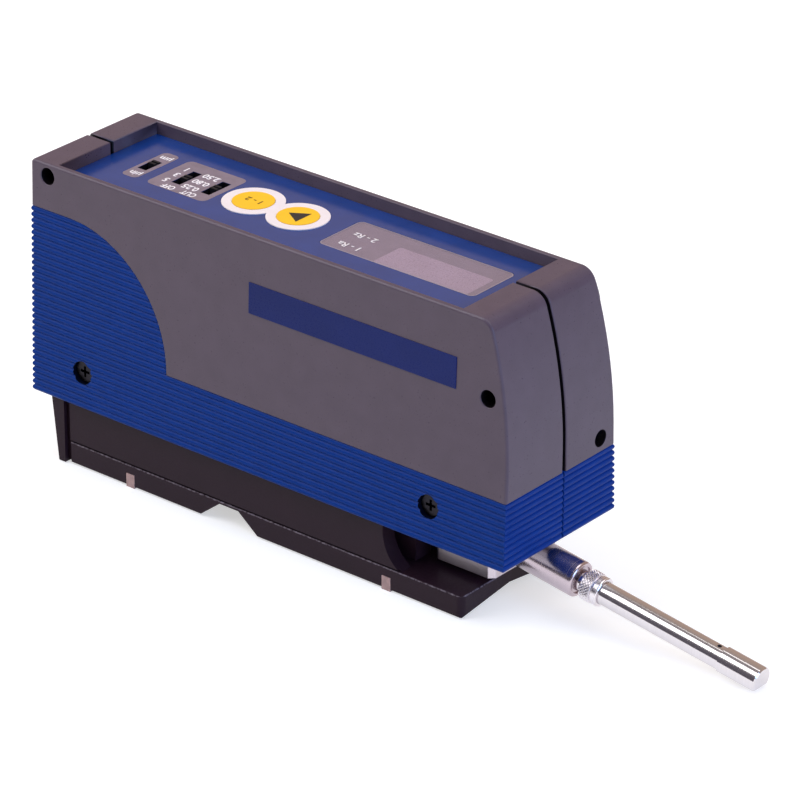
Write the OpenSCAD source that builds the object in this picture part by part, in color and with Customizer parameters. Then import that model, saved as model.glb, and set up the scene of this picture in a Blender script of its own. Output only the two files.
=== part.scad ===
// Handheld surface roughness tester: two-colour ribbed housing on a guard base,
// with a swivelling probe under its front. X runs to the probe, Z is up, Y is the thickness.
// The origin is at the middle of the overall length and width, on the surface it stands on.

/* [Housing] */
// Length of the housing, rear face to front face
body_l = 140; // [130:1:160]
// Width of the housing at its lower edge
body_w = 39.6; // [38:0.2:46]
// Height of the housing, lower edge to top rim
body_h = 58; // [54:0.5:66]
// Height of the housing's lower edge over the surface
base_h = 17.5; // [16.5:0.1:20]
// How far each side face leans in over the housing height
side_lean = 1.9; // [1.4:0.1:2.2]
// Thickness of the side rims beside the top panel
rim_t = 1.5; // [1.2:0.1:2]
// Thickness of the front and rear walls
wall_t = 2.6; // [2.2:0.1:3.2]
// Place of the seam between the halves, from the middle
seam_y = 1.1; // [0:0.1:2]
// Width of the groove along the seam
seam_w = 1.1; // [0.6:0.1:1.4]
// Depth of the groove along the seam
seam_d = 1; // [0.5:0.1:1.2]
// Width of the narrow groove along the seam of the grips
grip_seam_w = 0.4; // [0.2:0.1:0.8]
// Radius of the bowed front face
front_r = 110; // [100:5:150]
// Height over the lower edge where the front face starts to bow back
front_rise = 22; // [18:0.5:24]
// Radius of the top front edge
front_edge_r = 4; // [3:0.5:5]
// Radius of the top rear edge
rear_edge_r = 1; // [0.8:0.1:3]

/* [Ribbed grips] */
// Spacing of the ribs
rib_pitch = 1.5; // [1.4:0.05:1.6]
// Depth of the ribs
rib_d = 0.4; // [0.3:0.05:0.6]
// How far the rib crests lie below the grey covers
rib_sink = 0; // [0:0.05:0.3]
// Ribs in the low band round the front
band_ribs = 11; // [10:1:13]
// Ribs on the rear face
rear_ribs = 31; // [28:1:33]
// Distance from the rear face to the start of the rounded shoulder
shoulder_x = 11.7; // [8:0.1:16]

/* [Top panel] */
// Depth of the pocket over the panel
pocket_d = 3; // [2:0.1:4]
// Length of the rear rim
rear_rim_l = 7.6; // [7.6:0.1:10]
// Length of the front rim, panel to the front face's lowest line
front_rim_l = 14.6; // [14:0.1:17]
// Thickness of the panel
panel_t = 1.6; // [1.4:0.1:2]
// Gap round the panel
panel_gap = 0.15; // [0.1:0.05:0.3]
// Height of the rim blocks and panel ledges below the panel
ledge_h = 1.5; // [1.2:0.1:2]
// Width of the panel ledges
ledge_w = 1.5; // [1:0.1:2]
// Sideways place of the keys, switches and window
layout_y = 1.6; // [0.5:0.1:2]

/* [Keys and switches] */
// Distance from the rear face to the select key
select_x = 50.3; // [49:0.1:52]
// Distance between the two keys
key_pitch = 13.2; // [13:0.1:14]
// Radius of the keys
key_r = 4.9; // [4:0.1:5.2]
// Radius of each round of the white surround
surround_r = 7.3; // [6.8:0.1:7.6]
// Height of the white surround over the panel
surround_t = 0.2; // [0.15:0.05:0.4]
// Gap round each key
key_gap = 0.08; // [0.05:0.01:0.1]
// Travel of the keys
key_travel = 0.4; // [0.3:0.05:0.6]
// Distance from the rear face to the unit switch
unit_x = 18.8; // [17:0.1:21]
// Distance from the rear face to the range switch
range_x = 30.1; // [28:0.1:32]
// Distance from the rear face to the cut-off switch
cutoff_x = 39; // [38:0.1:40]
// Width of the switch knobs, and their length along the slot
knob_w = 2; // [1.6:0.1:2.2]
// Gap between a knob and its slot
knob_gap = 0.3; // [0.25:0.05:0.4]
// Travel of the unit switch
unit_travel = 3; // [2:0.1:4]
// Travel of the range and cut-off switches
long_travel = 5.1; // [4.5:0.1:6]

/* [Display] */
// Distance from the rear face to the window
window_x = 75.5; // [74:0.1:80]
// Distance from the window to the front rim
window_margin = 5.7; // [5:0.1:8]
// Width of the window
window_w = 15.2; // [12:0.1:16]
// Radius of the window's corners
window_r = 1.5; // [1.3:0.1:3]
// Thickness of the window
window_t = 1.2; // [0.8:0.1:1.2]
// Width of the seat round the window
window_seat = 1; // [0.8:0.1:1.5]
// Thickness of the display module
lcd_t = 4; // [3:0.1:5]

/* [Board and battery] */
// Distance from the panel to the circuit board
board_drop = 7.4; // [7.2:0.1:9]
// Thickness of the circuit board
board_t = 1.6; // [1:0.1:2]
// Length of the battery
battery_l = 48.5; // [44:0.5:50]
// Width of the battery
battery_w = 26.5; // [24:0.5:28]
// Height of the battery
battery_h = 17.5; // [15:0.5:19]
// Spacing of the battery terminals
terminal_pitch = 12.7; // [12:0.1:13]
// Radius of the battery terminals
terminal_r = 2.8; // [2.4:0.1:3]
// Height of the battery terminals
terminal_h = 2.5; // [2:0.1:3]
// Thickness of the battery snap
snap_t = 4.5; // [4:0.1:6]
// Height of the battery snap
snap_h = 12; // [10:0.5:14]
// Length and width of the processor chip
chip_l = 14; // [10:0.5:16]
// Thickness of the processor chip
chip_t = 2.4; // [1.6:0.1:2.6]
// Distance from the window's rear edge to the processor chip
chip_offset = 8; // [6:0.5:12]
// Length of the board screws in their posts
board_thread = 4.5; // [3.5:0.1:5]

/* [Housing screws] */
// Distance from the rear face to the rear grip screw
grip_screw_x = 15.7; // [14:0.1:16.5]
// Distance from the front face to the front grip screw
grip_screw_front = 21.5; // [20:0.1:24]
// Height of the grip screws over the housing's lower edge
grip_screw_rise = 9; // [8.6:0.1:10]
// Radius of the grip screw counterbores
grip_bore_r = 2.8; // [2.7:0.1:3]
// Radius of the small holes in the covers and the front face
cover_bore_r = 2; // [1.8:0.1:2.1]
// Distance from the rear face to the rear cover hole
cover_hole_x = 5.2; // [5:0.1:5.4]
// Distance from the top rim to the rear cover hole
cover_hole_drop = 3.1; // [3:0.1:3.4]
// Distance from the front face to the front cover hole
cover_hole_front = 6; // [5.5:0.1:7]
// Height of the front cover hole over the housing's lower edge
cover_hole_rise = 39.8; // [37:0.1:42]
// Distance of the adjuster hole from the housing's side
adjuster_inset = 5.8; // [5.8:0.1:6.8]
// Height of the adjuster hole over the grey covers' lower edge
adjuster_rise = 3.3; // [3:0.1:7]

/* [Base] */
// How far the base stands in from the housing's lower edge
base_inset = 2.7; // [2.4:0.1:3.2]
// Height of the foot plate's top over the surface
plate_top = 5.7; // [5.4:0.1:6]
// Height of the foot plate's lower edges over the surface
plate_lift = 0.4; // [0.2:0.1:0.6]
// Rise of the shallow V under the foot plate
vee_rise = 2.1; // [1.5:0.1:2.4]
// Distance from the front face to the foot plate's front
plate_setback = 13.6; // [12.5:0.1:15]
// Distance from the rear face to the frame and the foot plate
frame_x = 7.8; // [7:0.1:9]
// Thickness of the frame's side walls
frame_wall = 3.9; // [3:0.1:4.2]
// Radius of the round opening in the frame's sides
opening_r = 10.3; // [9.5:0.1:10.6]
// Distance from the front face to the opening's centre
opening_setback = 25.9; // [25.5:0.1:27]
// Distance from the rear face to the cross notch's middle
notch_x = 58.2; // [55:0.1:60]
// Width of the cross notch at its mouth
notch_mouth = 17.2; // [15:0.1:18]
// Width of the cross notch at its top
notch_top_w = 5.7; // [4:0.1:7]
// Height of the cross notch's top over the surface
notch_h = 4.9; // [4:0.1:5]
// Lean of the rear plate's outer face over its height
rear_lean = 1.9; // [1:0.1:2.5]
// Thickness of the rear plate at its lower edge
rear_plate_t = 2; // [1.6:0.1:2.4]
// Size of the foot pads along the base
pad_l = 2.5; // [2:0.1:3]
// Height of the foot pads
pad_h = 3.4; // [2.8:0.1:4]
// Distance from the rear face to the rear pads
pad_rear_x = 27.9; // [25:0.1:32]
// Distance from the front face to the front pads
pad_front = 35.2; // [33:0.1:40]

/* [Probe mount] */
// Distance from the front face to the swivel axis
swivel_setback = 22.8; // [22.5:0.1:24]
// Swivel head in front of its axis
head_front = 11; // [10:0.1:11.2]
// Swivel head behind its axis
head_rear = 6; // [5:0.1:6]
// Width of the swivel head
head_w = 17; // [16:0.1:17.2]
// Chamfer of the swivel head's upright edges
head_chamfer = 1.3; // [1:0.1:2]
// Gap between the swivel head and the foot plate
head_gap = 1.3; // [1:0.1:1.6]
// Radius of the swivel spindle
spindle_r = 4; // [3.5:0.1:4]
// Distance from the swivel axis to the tilt pin
pin_reach = 7.4; // [7.2:0.1:7.6]
// Distance from the housing's lower edge down to the tilt pin
pin_drop = 4.3; // [4.2:0.1:4.6]
// Radius of the tilt pin
pin_r = 1.5; // [1.2:0.1:1.6]
// Running clearance of pins, spindle, plunger and nut
run_gap = 0.05; // [0.03:0.01:0.08]

/* [Probe] */
// Radius of the drive rod
rod_r = 4.25; // [4:0.05:4.3]
// Distance along the probe from the tilt pin to the rod's shoulder
rod_start = 5.2; // [5:0.1:6]
// Distance along the probe from the tilt pin to the rod's end
rod_end = 21.9; // [20:0.1:24]
// Radius of the plunger
plunger_r = 2.5; // [2.2:0.1:2.6]
// Gap between the rod's end and the coupling nut
nut_gap = 1.4; // [1:0.1:2.5]
// Length of the coupling nut
nut_l = 5; // [4.5:0.1:6]
// Radius of the coupling nut
nut_r = 3.65; // [3.5:0.05:4]
// Radius of the probe tube
tube_r = 2.7; // [2.6:0.05:2.9]
// Length of the probe tube in front of the nut
tube_l = 32.7; // [30:0.1:40]
// Wall of the probe tube
tube_wall = 0.6; // [0.4:0.05:0.7]
// Radius of the probe tip
tip_r = 3.1; // [3:0.05:3.3]
// Length of the probe tip
tip_l = 10.2; // [9.5:0.1:12]
// Distance from the tip's axis to the flat under it
tip_flat = 1.75; // [1.6:0.05:2]
// Height of the tip's flat over the surface at its end
tip_clear = 0.9; // [0.8:0.1:2]
// Travel of the plunger
traverse = 5; // [4:0.1:5]

/* [Hidden] */
$fn = 64;

// A small overshoot for cuts
cut = 1;
// Facets of the large front bow
bow_fn = 360;

// Housing
top_z = base_h + body_h;
half_w = body_w / 2;
cavity_half = half_w - side_lean - rim_t;
bow_z = base_h + front_rise;
bow_x = body_l - front_r;
band_z = base_h + band_ribs * rib_pitch;
shoulder_r = (rear_ribs - band_ribs) * rib_pitch;
rib_steps = 4;
rib_r = (pow(rib_pitch / 2, 2) + pow(rib_d, 2)) / (2 * rib_d);
panel_top = top_z - pocket_d;
panel_under = panel_top - panel_t;
block_z = panel_under - ledge_h;
panel_front = body_l - front_rim_l;

// Screw posts in the housing
post_r = 3.5;
cover_post_r = 3;
grip_screws = [[grip_screw_x, base_h + grip_screw_rise],
    [body_l - grip_screw_front, base_h + grip_screw_rise]];
cover_holes = [[cover_hole_x, top_z - cover_hole_drop],
    [body_l - cover_hole_front, base_h + cover_hole_rise]];
adjuster_y = half_w - adjuster_inset;
adjuster_z = band_z + adjuster_rise;
screw_fit = 0.02;
grip_screw_r = 1.5;
grip_head_r = 2.5;
grip_head_h = 2;
grip_bore_d = 3.4;
cover_screw_r = 1.1;
cover_head_r = 1.9;
cover_head_h = 1.6;
cover_bore_d = 8;
thread_l = 12;

// Chassis and base
chassis_t = 2.5;
chassis_top = base_h + chassis_t;
base_half = half_w - base_inset;
plate_front = body_l - plate_setback;
opening_x = body_l - opening_setback;
opening_z = base_h - 2.9;
groove_w = 1.3;
groove_d = 0.8;
lip_groove_h = 0.5;
boss_r = 3.6;
boss_xs = [frame_x + frame_wall + boss_r + 0.2, opening_x - opening_r - 15];
boss_y = base_half - frame_wall - 2.2;
m3_r = 1.5;
m3_head_r = 2.75;
m3_head_h = 1.8;
boss_mid_z = (plate_top + base_h) / 2;
pad_y = 4;
rear_half = base_half + 0.5;
rear_plate_z = 0.2;

// Probe mount
swivel_x = body_l - swivel_setback;
pin_x = swivel_x + pin_reach;
pin_z = base_h - pin_drop;
head_top = base_h - 0.6;
head_bottom = plate_top + head_gap;
head_half = head_w / 2;
tongue_half = 3.5;
tongue_h = 2.9;
slot_gap = 0.3;
bush_r = spindle_r + 1.6;
flange_r = spindle_r + 3.6;
flange_t = 1;
bush_low = head_top + 0.2;
clip_z = chassis_top + flange_t + 0.1;
clip_t = 0.8;
spindle_top = clip_z + clip_t + 0.5;
neck_r = spindle_r - 0.75;
swing_r = norm([head_rear, head_half]) + 0.3;
lead_half = base_half - frame_wall - 2.2;
lead_front = swivel_x - head_half - 0.4;
lead_back = opening_x - opening_r - 8;
lead_low = plate_top + 0.4;
lead_wall = 1.5;

// Probe, by distance along its axis from the tilt pin
nut_start = rod_end + nut_gap;
nut_end = nut_start + nut_l;
tip_start = nut_end + tube_l;
tip_end = tip_start + tip_l;
probe_tilt = asin((pin_z - tip_clear - tip_flat) / tip_end);
tip_edge = 0.3;
overall_l = pin_x + tip_end * cos(probe_tilt) + (tip_r - tip_edge) * sin(probe_tilt);
bore_r = plunger_r + 0.8;
drive_start = rod_start + 1.8;
drive_end = drive_start + 5;
bush_start = drive_end + 2;
bush_end = rod_end - 0.4;
plunger_end = nut_start + 2.8;
collar_r = tube_r + 0.3;
collar_l = 1.2;
spigot_l = 4;
tube_bore = tube_r - tube_wall;
beam_r = 0.5;
tip_bore = 1.4;
skid_seat = tip_bore + 0.12;
pivot_s = tip_start - 12;
stylus_s = tip_end - 3;
skid_s = tip_end - 5.2;
coil_l = 6;
coil_start = pivot_s - 10;

// Board level
board_top = panel_under - board_drop;
board_low = board_top - board_t;
window_end = panel_front - window_margin;
board_posts = [for (x = [rear_rim_l + 5, panel_front - 3.6], y = [-1, 1]) [x, y * (cavity_half - 4)]];
switch_h = board_drop - 0.4;
key_stem_gap = key_travel + 0.05;
tact_h = 4;

// Everything is drawn from the rear face and then centred on the overall length
module centred() {
    translate([-overall_l / 2, 0, 0]) children();
}

// Extrude an outline drawn in X and Z along Y, from y0 to y1
module along_y(y0, y1) {
    translate([0, y1, 0]) rotate([90, 0, 0]) linear_extrude(y1 - y0) children();
}

// Extrude an outline drawn in Y and Z along X, from x0 to x1
module along_x(x0, x1) {
    translate([x0, 0, 0]) rotate([90, 0, 90]) linear_extrude(x1 - x0) children();
}

// A plain box between two corners
module box(low, high) {
    translate(low) cube(high - low);
}

// A cylinder along Y at a place in X and Z
module pin_y(p, r, y0, y1) {
    translate([p[0], y1, p[1]]) rotate([90, 0, 0]) cylinder(r = r, h = y1 - y0);
}

// A cylinder along Z at a place in X and Y
module pin_z(p, r, z0, z1) {
    translate([p[0], p[1], z0]) cylinder(r = r, h = z1 - z0);
}

// Side outline of the housing, set in by a wall: bowed front, rounded top edges
module side_outline(inset = 0) {
    r = front_r - inset;
    edge = front_edge_r - inset * 0.5;
    rear = max(rear_edge_r - inset * 0.5, 0.3);
    top = top_z - inset;
    edge_z = top - edge;
    edge_x = bow_x + sqrt(pow(r - edge, 2) - pow(edge_z - bow_z, 2));
    turn = atan2(edge_z - bow_z, edge_x - bow_x);
    reach = 3 * front_edge_r;
    difference() {
        intersection() {
            translate([inset, base_h]) square([body_l - 2 * inset, top - base_h]);
            union() {
                translate([bow_x, bow_z]) circle(r = r, $fn = bow_fn);
                translate([0, base_h]) square([body_l, bow_z - base_h]);
            }
        }
        difference() {
            polygon([[edge_x, edge_z], [edge_x + reach * cos(turn), edge_z + reach * sin(turn)],
                [edge_x + reach, edge_z + reach], [edge_x, edge_z + reach]]);
            translate([edge_x, edge_z]) circle(r = edge);
        }
        difference() {
            translate([inset - cut, top - rear]) square([rear + cut, rear + cut]);
            translate([inset + rear, top - rear]) circle(r = rear);
        }
    }
}

// End outline of the housing: both side faces lean in towards the top
module end_outline() {
    polygon([[-half_w, base_h], [half_w, base_h], [half_w - side_lean, top_z], [-half_w + side_lean, top_z]]);
}

// Fall of a rib's rounded face below its crest, at a share of the way from root to root
function rib_fall(share) = rib_r - sqrt(pow(rib_r, 2) - pow((share - 0.5) * rib_pitch, 2));

// Edge of the ribs on a leaning face: a row of shallow arcs that meet at the roots
function rib_edge(face, lean) = [for (i = [0:rib_steps * rear_ribs])
    [face - rib_sink - lean * i * rib_pitch / rib_steps / body_h - rib_fall((i % rib_steps) / rib_steps),
        base_h + i * rib_pitch / rib_steps]];

// The same edge mirrored about zero and read downwards
function mirrored(edge) = [for (i = [len(edge) - 1:-1:0]) [-edge[i][0], edge[i][1]]];

// End outline of the grips, ribbed on both sides
module ribbed_end() {
    edge = rib_edge(half_w, side_lean);
    polygon(concat(edge, mirrored(edge)));
}

// Side outline of the grips, ribbed on the front and the rear
module ribbed_side() {
    edge = rib_edge(body_l / 2, 0);
    translate([body_l / 2, 0]) polygon(concat(edge, mirrored(edge)));
}

// The share of the side view that is ribbed: a low band and a rear part with a quarter-round shoulder
module grip_zone() {
    translate([-cut, base_h - cut]) square([body_l + 2 * cut, band_z - base_h + cut]);
    translate([-cut, band_z - cut]) square([shoulder_x + cut, shoulder_r + cut]);
    intersection() {
        translate([shoulder_x, band_z]) circle(r = shoulder_r, $fn = 180);
        translate([shoulder_x - cut, band_z - cut]) square(shoulder_r + 2 * cut);
    }
}

// The hollow of the housing: open below, open at the panel, closed at the rims
module cavity() {
    along_y(-cavity_half, cavity_half) {
        intersection() {
            side_outline(wall_t);
            translate([0, base_h - cut]) square([body_l, block_z - base_h + cut]);
        }
        translate([wall_t, base_h - cut]) square([body_l - 2 * wall_t, 2 * cut]);
    }
    box([rear_rim_l, -cavity_half, block_z - cut], [panel_front, cavity_half, top_z + cut]);
}

// Ledges that carry the panel's long edges
module panel_ledges() {
    for (s = [-1, 1]) {
        y = s * (cavity_half - ledge_w / 2);
        box([rear_rim_l, y - ledge_w / 2, block_z], [panel_front, y + ledge_w / 2, panel_under]);
    }
}

// Keep the left (-1) or the right (1) half of the housing
module half(side) {
    intersection() {
        children();
        y0 = side < 0 ? -body_w : seam_y;
        y1 = side < 0 ? seam_y : body_w;
        box([-cut, y0, 0], [body_l + cut, y1, top_z + cut]);
    }
}

// Groove along the seam of the covers, cut into the outside of both halves
module seam_groove() {
    along_y(seam_y - seam_w / 2, seam_y + seam_w / 2) {
        difference() {
            translate([-cut, 0]) square([body_l + 2 * cut, top_z + cut]);
            side_outline(seam_d);
        }
        for (x = [rear_rim_l - seam_d, panel_front - cut])
            translate([x, block_z - cut]) square([seam_d + cut, pocket_d + panel_t + ledge_h + 2 * cut]);
    }
}

// Narrow groove along the seam of the grips, a little deeper than the ribs
module grip_groove() {
    depth = rib_sink + rib_d + 0.2;
    along_y(seam_y - grip_seam_w / 2, seam_y + grip_seam_w / 2) difference() {
        translate([-cut, 0]) square([body_l + 2 * cut, top_z + cut]);
        translate([depth, 0]) square([body_l - 2 * depth, top_z + cut]);
    }
}

// Outer form of the grey covers
module cover_form() {
    difference() {
        intersection() {
            along_y(-half_w, half_w) side_outline();
            along_x(-cut, body_l + cut) end_outline();
        }
        along_y(-body_w, body_w) grip_zone();
    }
}

// Outer form of the ribbed grips
module grip_form() {
    intersection() {
        along_y(-half_w, half_w) ribbed_side();
        along_x(-cut, body_l + cut) ribbed_end();
        along_y(-body_w, body_w) grip_zone();
    }
}

// One grey cover: shell, panel ledge, screw posts and their bores
module cover(side) {
    half(side) difference() {
        union() {
            difference() {
                cover_form();
                cavity();
            }
            panel_ledges();
            pin_y(cover_holes[1], cover_post_r, -cavity_half - 0.5, cavity_half + 0.5);
        }
        seam_groove();
        for (p = cover_holes) {
            pin_y(p, cover_bore_r, -half_w - cut, -half_w + cover_bore_d);
            pin_y(p, cover_screw_r + screw_fit, -half_w, seam_y + thread_l);
        }
        translate([body_l - wall_t - cut, adjuster_y, adjuster_z]) rotate([0, 90, 0])
            cylinder(r = cover_bore_r, h = wall_t + 2 * cut);
    }
}

module left_cover() {
    color("#5d5560") cover(-1);
}

module right_cover() {
    color("#5d5560") cover(1);
}

// One blue grip: ribbed shell, screw posts and their bores
module grip(side) {
    half(side) difference() {
        union() {
            difference() {
                grip_form();
                cavity();
            }
            for (p = grip_screws) pin_y(p, post_r, -cavity_half - 0.5, cavity_half + 0.5);
        }
        grip_groove();
        for (p = grip_screws) {
            pin_y(p, grip_bore_r, -half_w - cut, -half_w + grip_bore_d);
            pin_y(p, grip_screw_r + screw_fit, -half_w, seam_y + thread_l);
        }
    }
}

module left_grip() {
    color("#2b3f93") grip(-1);
}

module right_grip() {
    color("#2b3f93") grip(1);
}

// A cross-head screw along Y, its head towards -Y and resting at y
module screw_y(p, r, y, head_r, head_h, length) {
    recess = head_r * 0.55;
    difference() {
        union() {
            pin_y(p, head_r, y - head_h, y);
            pin_y(p, r, y - cut, y + length);
        }
        for (a = [0, 90]) translate([p[0], y - head_h, p[1]]) rotate([0, a, 0])
            cube([2 * recess, head_h, recess * 0.5], center = true);
    }
}

module cover_screws() {
    color("#25252a") for (p = cover_holes)
        screw_y(p, cover_screw_r, -half_w + cover_bore_d, cover_head_r, cover_head_h,
            half_w - cover_bore_d + seam_y + thread_l - 2);
}

module housing_screws() {
    color("#1c1c20") for (p = grip_screws)
        screw_y(p, grip_screw_r, -half_w + grip_bore_d, grip_head_r, grip_head_h,
            half_w - grip_bore_d + seam_y + thread_l - 2);
}

// Floor plate between the grips, with the swivel's bush seat and the base screw holes
module chassis_plate() {
    color("#b9bcc0") difference() {
        box([wall_t, -cavity_half, base_h], [body_l - wall_t, cavity_half, chassis_top]);
        pin_z([swivel_x, 0], bush_r + screw_fit, base_h - cut, chassis_top + cut);
        for (x = boss_xs, s = [-1, 1])
            pin_z([x, s * boss_y], m3_r + screw_fit, base_h - cut, chassis_top + cut);
    }
}

// An upright screw: head from z0 to z1 and shank on to z2
module screw_z(p, r, head_r, z0, z1, z2) {
    pin_z(p, head_r, min(z0, z1), max(z0, z1));
    pin_z(p, r, min(z1, z2) - (z2 > z1 ? 0.2 : 0), max(z1, z2) + (z2 > z1 ? 0 : 0.2));
}

module chassis_screws() {
    color("#8d8f94") for (x = boss_xs, s = [-1, 1])
        screw_z([x, s * boss_y], m3_r, m3_head_r, chassis_top + m3_head_h, chassis_top, boss_mid_z + 1);
}

module foot_screws() {
    color("#2a2a2e") for (x = boss_xs, s = [-1, 1])
        screw_z([x, s * boss_y], m3_r, m3_head_r, plate_top - 2.5 - m3_head_h, plate_top - 2.5,
            boss_mid_z - 1);
}

// Frame of the base: two side walls with round openings in front, a rear wall and four screw bosses
module base_frame() {
    inner = base_half - frame_wall;
    color("#2c2529") difference() {
        union() {
            difference() {
                along_y(-base_half, base_half) difference() {
                    translate([frame_x, plate_top]) square([opening_x - frame_x, base_h - plate_top]);
                    translate([opening_x, opening_z]) circle(r = opening_r);
                }
                box([frame_x + frame_wall, -inner, plate_top - cut], [body_l, inner, base_h + cut]);
            }
            for (x = boss_xs, s = [-1, 1]) intersection() {
                pin_z([x, s * boss_y], boss_r, plate_top, base_h);
                box([0, -base_half, 0], [body_l, base_half, base_h]);
            }
        }
        for (x = boss_xs, s = [-1, 1]) {
            pin_z([x, s * boss_y], m3_r + screw_fit, boss_mid_z + 0.5, base_h + cut);
            pin_z([x, s * boss_y], m3_r + screw_fit, plate_top - cut, boss_mid_z - 0.5);
        }
        for (s = [-1, 1]) {
            end_hole(s);
            box_side(s, [frame_x - cut, plate_top - cut], [frame_x + groove_w, base_h + cut]);
            box_side(s, [frame_x, plate_top - cut], [opening_x, plate_top + lip_groove_h]);
        }
    }
}

// A shallow rebate in a side face of the base, between two corners in X and Z
module box_side(s, low, high) {
    y = s * base_half;
    box([low[0], min(y, y - s * groove_d) - (s < 0 ? cut : 0), low[1]],
        [high[0], max(y, y - s * groove_d) + (s > 0 ? cut : 0), high[1]]);
}

// Tapped hole in the frame's rear wall for the rear plate's screw
module end_hole(s) {
    translate([0, s * end_screw_y, end_screw_z]) rotate([0, 90, 0])
        cylinder(r = end_screw_r + screw_fit, h = frame_x + frame_wall + cut);
}

end_screw_r = 1.2;
end_screw_y = base_half - 7;
end_screw_z = (plate_top + base_h) / 2;

// Foot plate: flat top, shallow V below, a cross notch, seats for the pads and screw holes
module foot_plate() {
    color("#2c2529") difference() {
        along_x(frame_x, plate_front) polygon([[-base_half, plate_lift], [0, plate_lift + vee_rise],
            [base_half, plate_lift], [base_half, plate_top], [-base_half, plate_top]]);
        along_y(-body_w, body_w) polygon([
            [notch_x - notch_mouth / 2, plate_lift], [notch_x - notch_mouth / 2, -cut],
            [notch_x + notch_mouth / 2, -cut], [notch_x + notch_mouth / 2, plate_lift],
            [notch_x + notch_top_w / 2, notch_h], [notch_x - notch_top_w / 2, notch_h]]);
        for (x = boss_xs, s = [-1, 1]) {
            pin_z([x, s * boss_y], m3_r + screw_fit, 0, plate_top + cut);
            pin_z([x, s * boss_y], m3_head_r + 0.2, 0, plate_top - 2.5);
        }
        for (s = [-1, 1]) {
            box_side(s, [frame_x - cut, 0], [frame_x + groove_w, plate_top + cut]);
        }
        pads();
    }
}

// Four wear pads at the foot plate's lower edges
module pads() {
    for (x = [pad_rear_x, body_l - pad_front], s = [-1, 1]) {
        y = s * (base_half - pad_y / 2);
        box([x - pad_l / 2, y - pad_y / 2, 0], [x + pad_l / 2, y + pad_y / 2, pad_h]);
    }
}

module foot_pads() {
    color("#c9b8ae") pads();
}

// Rear plate of the base: its outer face leans forward towards the surface
module rear_plate() {
    low_x = frame_x - rear_plate_t;
    color("#332b2f") difference() {
        along_y(-rear_half, rear_half) polygon([[low_x, rear_plate_z], [frame_x, rear_plate_z],
            [frame_x, base_h], [low_x - rear_lean, base_h]]);
        for (s = [-1, 1]) {
            end_hole(s);
            translate([-cut, s * end_screw_y, end_screw_z]) rotate([0, 90, 0])
                cylinder(r = end_head_r + 0.1, h = end_seat_x + cut);
        }
    }
}

end_head_r = 2.2;
end_seat_x = frame_x - 1.2;

module end_screws() {
    color("#2a2a2e") for (s = [-1, 1]) translate([0, s * end_screw_y, end_screw_z]) rotate([0, 90, 0]) {
        translate([0, 0, end_seat_x - 1]) cylinder(r = end_head_r, h = 1);
        translate([0, 0, end_seat_x - 0.5]) cylinder(r = end_screw_r, h = frame_wall);
    }
}

// Cover over the probe's flexible lead, hollowed in front for the swivel head to pass
module lead_cover() {
    color("#241f22") difference() {
        box([lead_back, -lead_half, lead_low], [lead_front, lead_half, base_h]);
        box([lead_back + lead_wall, -lead_half + lead_wall, lead_low + lead_wall],
            [swivel_x - swing_r - lead_wall, lead_half - lead_wall, base_h + cut]);
        pin_z([swivel_x, 0], swing_r, 0, base_h + cut);
    }
}

// Control panel with its board posts, key holes, switch slots and window opening
module top_panel() {
    wide = cavity_half - panel_gap;
    color("#3a4a98") difference() {
        union() {
            box([rear_rim_l + panel_gap, -wide, panel_under], [panel_front - panel_gap, wide, panel_top]);
            for (p = board_posts) pin_z(p, 2.2, board_top, panel_under + panel_t / 2);
        }
        for (x = key_xs) pin_z([x, layout_y], key_r + key_gap, panel_under - cut, panel_top + cut);
        switch_slot(unit_x, unit_travel);
        switch_slot(range_x, long_travel);
        switch_slot(cutoff_x, long_travel);
        window_opening(0, panel_top - window_t, panel_top + cut);
        window_opening(window_seat, panel_under - cut, panel_top);
        for (p = board_posts) pin_z(p, board_screw_r + screw_fit, board_top - cut, board_top + 5);
    }
}

key_xs = [select_x, select_x + key_pitch];
board_screw_r = 1.1;

// Slot for a switch knob, long enough for its travel
module switch_slot(x, travel) {
    slot_l = travel + knob_w + 2 * knob_gap;
    box([x - knob_w / 2 - knob_gap, layout_y - slot_l / 2, panel_under - cut],
        [x + knob_w / 2 + knob_gap, layout_y + slot_l / 2, panel_top + cut]);
}

// A block over the window's plan, set in on every side, with rounded corners
module window_opening(inset, z0, z1) {
    r = max(window_r - inset, 0.2);
    x0 = window_x + inset;
    x1 = window_end - inset;
    y0 = layout_y - window_w / 2 + inset;
    y1 = layout_y + window_w / 2 - inset;
    translate([0, 0, z0]) linear_extrude(z1 - z0) {
        translate([x0 + r, y0]) square([x1 - x0 - 2 * r, y1 - y0]);
        translate([x0, y0 + r]) square([x1 - x0, y1 - y0 - 2 * r]);
        for (x = [x0 + r, x1 - r], y = [y0 + r, y1 - r]) translate([x, y]) circle(r = r);
    }
}

// White surround of the two keys, in the form of an 8
module key_surround() {
    color("#f0e6e8") difference() {
        for (x = key_xs) pin_z([x, layout_y], surround_r, panel_top, panel_top + surround_t);
        for (x = key_xs) pin_z([x, layout_y], key_r + key_gap, panel_top - cut, panel_top + cut);
    }
}

// A key: face, flange under the panel and a stem over its switch
module key(x) {
    p = [x, layout_y];
    pin_z(p, key_r, panel_under - 0.5, panel_top + surround_t + 0.1);
    pin_z(p, key_r + 0.8, panel_under - 0.9, panel_under - 0.1);
    pin_z(p, 1.6, board_top + tact_h + key_stem_gap, panel_under - 0.5);
}

module select_key() {
    color("#fcd02c") key(key_xs[0]);
}

module start_key() {
    color("#fcd02c") key(key_xs[1]);
}

module display_window() {
    color("#b4a6ac") window_opening(0.1, panel_top - window_t, panel_top);
}

// Display module under the window
module lcd_module() {
    color("#c9c0c4") window_opening(-1.2, panel_under - lcd_t, panel_under);
}

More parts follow.
